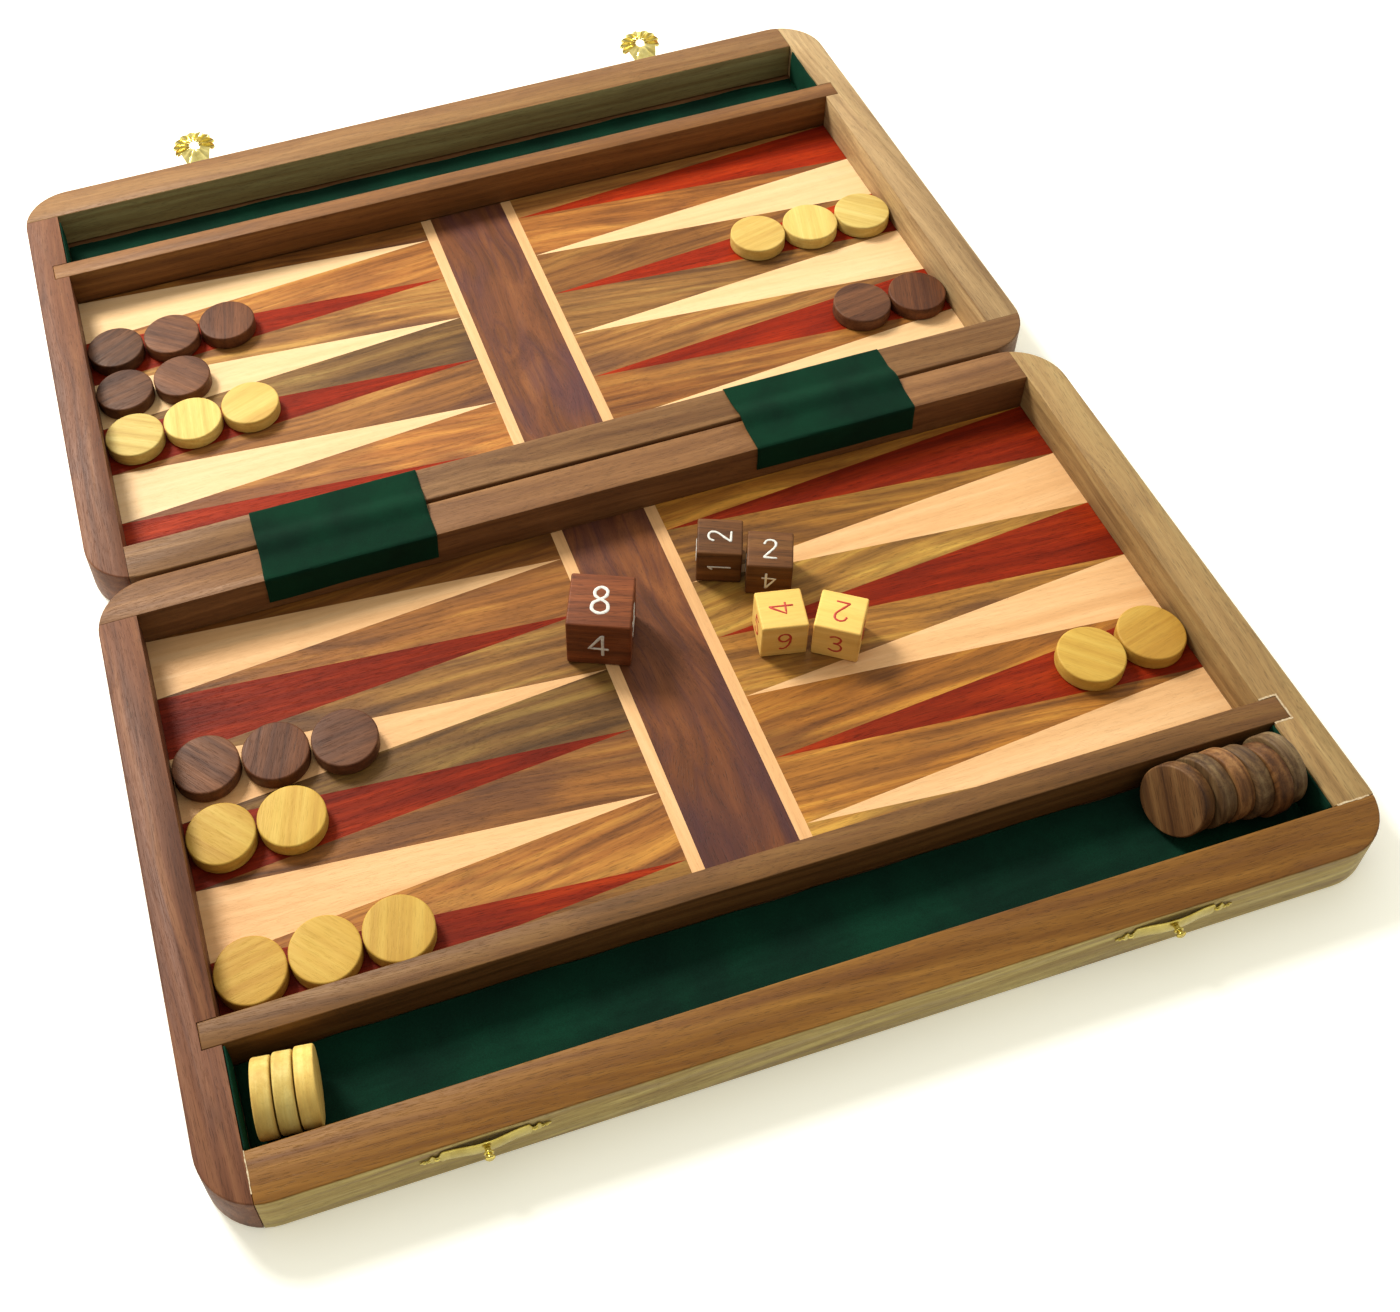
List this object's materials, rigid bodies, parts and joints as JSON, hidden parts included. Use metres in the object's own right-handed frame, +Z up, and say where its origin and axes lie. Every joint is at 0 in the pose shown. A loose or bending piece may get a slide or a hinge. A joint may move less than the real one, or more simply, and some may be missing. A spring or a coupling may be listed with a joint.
{
  "type": "folding backgammon case",
  "caption": "Folding wooden backgammon case with lined checker trays, shell hasps, inlaid boards, loose checkers, dice and a doubling cube.",
  "frame": {"origin": "bottom centre of the whole box, with the case open flat on its base; the seam between the halves lies 4.8 mm towards the front", "axes": "+X along the hinge line to the right, +Y across the hinge to the far half, +Z up"},
  "size_m": [0.38, 0.493, 0.0283],
  "materials": {
    "rail_wood": "oiled satin",
    "panel_wood": "lacquered",
    "velvet": "cut pile",
    "brass": "polished",
    "light_wood": "waxed",
    "dark_wood": "waxed",
    "cube_wood": "waxed"
  },
  "bodies": {
    "near_half": {"near_front_rail": "rail_wood", "near_hinge_rail": "rail_wood", "near_left_rail": "rail_wood", "near_right_rail": "rail_wood", "near_divider": "rail_wood", "near_base_panel": "panel_wood", "near_tray_lining": "velvet", "hinge_leaf_near_left": "brass", "hinge_leaf_near_right": "brass", "hinge_pin_left": "brass", "hinge_pin_right": "brass", "strap_left": "velvet", "strap_right": "velvet", "strike_plate_left": "brass", "strike_plate_right": "brass"},
    "far_half": {"far_back_rail": "rail_wood", "far_hinge_rail": "rail_wood", "far_left_rail": "rail_wood", "far_right_rail": "rail_wood", "far_divider": "rail_wood", "far_base_panel": "panel_wood", "far_tray_lining": "velvet", "hinge_leaf_far_left": "brass", "hinge_leaf_far_right": "brass", "hasp_plate_left": "brass", "hasp_plate_right": "brass", "hasp_pin_left": "brass", "hasp_pin_right": "brass"},
    "hasp_left": {"hasp_left": "brass"},
    "hasp_right": {"hasp_right": "brass"},
    "checker_light_01": {"checker_light_01": "light_wood"},
    "checker_light_02": {"checker_light_02": "light_wood"},
    "checker_light_03": {"checker_light_03": "light_wood"},
    "checker_light_04": {"checker_light_04": "light_wood"},
    "checker_light_05": {"checker_light_05": "light_wood"},
    "checker_light_06": {"checker_light_06": "light_wood"},
    "checker_light_07": {"checker_light_07": "light_wood"},
    "checker_light_08": {"checker_light_08": "light_wood"},
    "checker_light_09": {"checker_light_09": "light_wood"},
    "checker_light_10": {"checker_light_10": "light_wood"},
    "checker_light_11": {"checker_light_11": "light_wood"},
    "checker_light_12": {"checker_light_12": "light_wood"},
    "checker_light_13": {"checker_light_13": "light_wood"},
    "checker_dark_01": {"checker_dark_01": "dark_wood"},
    "checker_dark_02": {"checker_dark_02": "dark_wood"},
    "checker_dark_03": {"checker_dark_03": "dark_wood"},
    "checker_dark_04": {"checker_dark_04": "dark_wood"},
    "checker_dark_05": {"checker_dark_05": "dark_wood"},
    "checker_dark_06": {"checker_dark_06": "dark_wood"},
    "checker_dark_07": {"checker_dark_07": "dark_wood"},
    "checker_dark_08": {"checker_dark_08": "dark_wood"},
    "checker_dark_09": {"checker_dark_09": "dark_wood"},
    "checker_dark_10": {"checker_dark_10": "dark_wood"},
    "tray_checkers_light": {"tray_checkers_light": "light_wood"},
    "tray_checkers_dark": {"tray_checkers_dark": "dark_wood"},
    "doubling_cube": {"doubling_cube": "cube_wood"},
    "die_dark_1": {"die_dark_1": "cube_wood"},
    "die_dark_2": {"die_dark_2": "cube_wood"},
    "die_light_1": {"die_light_1": "light_wood"},
    "die_light_2": {"die_light_2": "light_wood"}
  },
  "joints": [
    {"name": "case_fold", "type": "hinge", "parent": "near_half", "child": "far_half", "pos_m": [0, -0.00693, 0.0203], "axis": [-1, 0, 0], "range_deg": [-180, 0], "deforming": ["strap_left", "strap_right"]},
    {"name": "hasp_left_swing", "type": "hinge", "parent": "far_half", "child": "hasp_left", "pos_m": [-0.1085, 0.22907, 0.0147], "axis": [-1, 0, 0], "range_deg": [-62, 70]},
    {"name": "hasp_right_swing", "type": "hinge", "parent": "far_half", "child": "hasp_right", "pos_m": [0.1105, 0.22907, 0.0147], "axis": [-1, 0, 0], "range_deg": [-62, 70]},
    {"name": "checker_light_01_lift", "type": "slide", "parent": "far_half", "child": "checker_light_01", "axis": [0, 0, 1], "range_m": [0, 0.03]},
    {"name": "checker_light_02_lift", "type": "slide", "parent": "far_half", "child": "checker_light_02", "axis": [0, 0, 1], "range_m": [0, 0.03]},
    {"name": "checker_light_03_lift", "type": "slide", "parent": "far_half", "child": "checker_light_03", "axis": [0, 0, 1], "range_m": [0, 0.03]},
    {"name": "checker_light_04_lift", "type": "slide", "parent": "far_half", "child": "checker_light_04", "axis": [0, 0, 1], "range_m": [0, 0.03]},
    {"name": "checker_light_05_lift", "type": "slide", "parent": "far_half", "child": "checker_light_05", "axis": [0, 0, 1], "range_m": [0, 0.03]},
    {"name": "checker_light_06_lift", "type": "slide", "parent": "far_half", "child": "checker_light_06", "axis": [0, 0, 1], "range_m": [0, 0.03]},
    {"name": "checker_light_07_lift", "type": "slide", "parent": "near_half", "child": "checker_light_07", "axis": [0, 0, 1], "range_m": [0, 0.03]},
    {"name": "checker_light_08_lift", "type": "slide", "parent": "near_half", "child": "checker_light_08", "axis": [0, 0, 1], "range_m": [0, 0.03]},
    {"name": "checker_light_09_lift", "type": "slide", "parent": "near_half", "child": "checker_light_09", "axis": [0, 0, 1], "range_m": [0, 0.03]},
    {"name": "checker_light_10_lift", "type": "slide", "parent": "near_half", "child": "checker_light_10", "axis": [0, 0, 1], "range_m": [0, 0.03]},
    {"name": "checker_light_11_lift", "type": "slide", "parent": "near_half", "child": "checker_light_11", "axis": [0, 0, 1], "range_m": [0, 0.03]},
    {"name": "checker_light_12_lift", "type": "slide", "parent": "near_half", "child": "checker_light_12", "axis": [0, 0, 1], "range_m": [0, 0.03]},
    {"name": "checker_light_13_lift", "type": "slide", "parent": "near_half", "child": "checker_light_13", "axis": [0, 0, 1], "range_m": [0, 0.03]},
    {"name": "checker_dark_01_lift", "type": "slide", "parent": "far_half", "child": "checker_dark_01", "axis": [0, 0, 1], "range_m": [0, 0.03]},
    {"name": "checker_dark_02_lift", "type": "slide", "parent": "far_half", "child": "checker_dark_02", "axis": [0, 0, 1], "range_m": [0, 0.03]},
    {"name": "checker_dark_03_lift", "type": "slide", "parent": "far_half", "child": "checker_dark_03", "axis": [0, 0, 1], "range_m": [0, 0.03]},
    {"name": "checker_dark_04_lift", "type": "slide", "parent": "far_half", "child": "checker_dark_04", "axis": [0, 0, 1], "range_m": [0, 0.03]},
    {"name": "checker_dark_05_lift", "type": "slide", "parent": "far_half", "child": "checker_dark_05", "axis": [0, 0, 1], "range_m": [0, 0.03]},
    {"name": "checker_dark_06_lift", "type": "slide", "parent": "far_half", "child": "checker_dark_06", "axis": [0, 0, 1], "range_m": [0, 0.03]},
    {"name": "checker_dark_07_lift", "type": "slide", "parent": "far_half", "child": "checker_dark_07", "axis": [0, 0, 1], "range_m": [0, 0.03]},
    {"name": "checker_dark_08_lift", "type": "slide", "parent": "near_half", "child": "checker_dark_08", "axis": [0, 0, 1], "range_m": [0, 0.03]},
    {"name": "checker_dark_09_lift", "type": "slide", "parent": "near_half", "child": "checker_dark_09", "axis": [0, 0, 1], "range_m": [0, 0.03]},
    {"name": "checker_dark_10_lift", "type": "slide", "parent": "near_half", "child": "checker_dark_10", "axis": [0, 0, 1], "range_m": [0, 0.03]},
    {"name": "tray_checkers_light_lift", "type": "slide", "parent": "near_half", "child": "tray_checkers_light", "axis": [0, 0, 1], "range_m": [0, 0.03]},
    {"name": "tray_checkers_dark_lift", "type": "slide", "parent": "near_half", "child": "tray_checkers_dark", "axis": [0, 0, 1], "range_m": [0, 0.03]},
    {"name": "doubling_cube_lift", "type": "slide", "parent": "near_half", "child": "doubling_cube", "axis": [0, 0, 1], "range_m": [0, 0.03]},
    {"name": "die_dark_1_lift", "type": "slide", "parent": "near_half", "child": "die_dark_1", "axis": [0, 0, 1], "range_m": [0, 0.03]},
    {"name": "die_dark_2_lift", "type": "slide", "parent": "near_half", "child": "die_dark_2", "axis": [0, 0, 1], "range_m": [0, 0.03]},
    {"name": "die_light_1_lift", "type": "slide", "parent": "near_half", "child": "die_light_1", "axis": [0, 0, 1], "range_m": [0, 0.03]},
    {"name": "die_light_2_lift", "type": "slide", "parent": "near_half", "child": "die_light_2", "axis": [0, 0, 1], "range_m": [0, 0.03]}
  ]
}
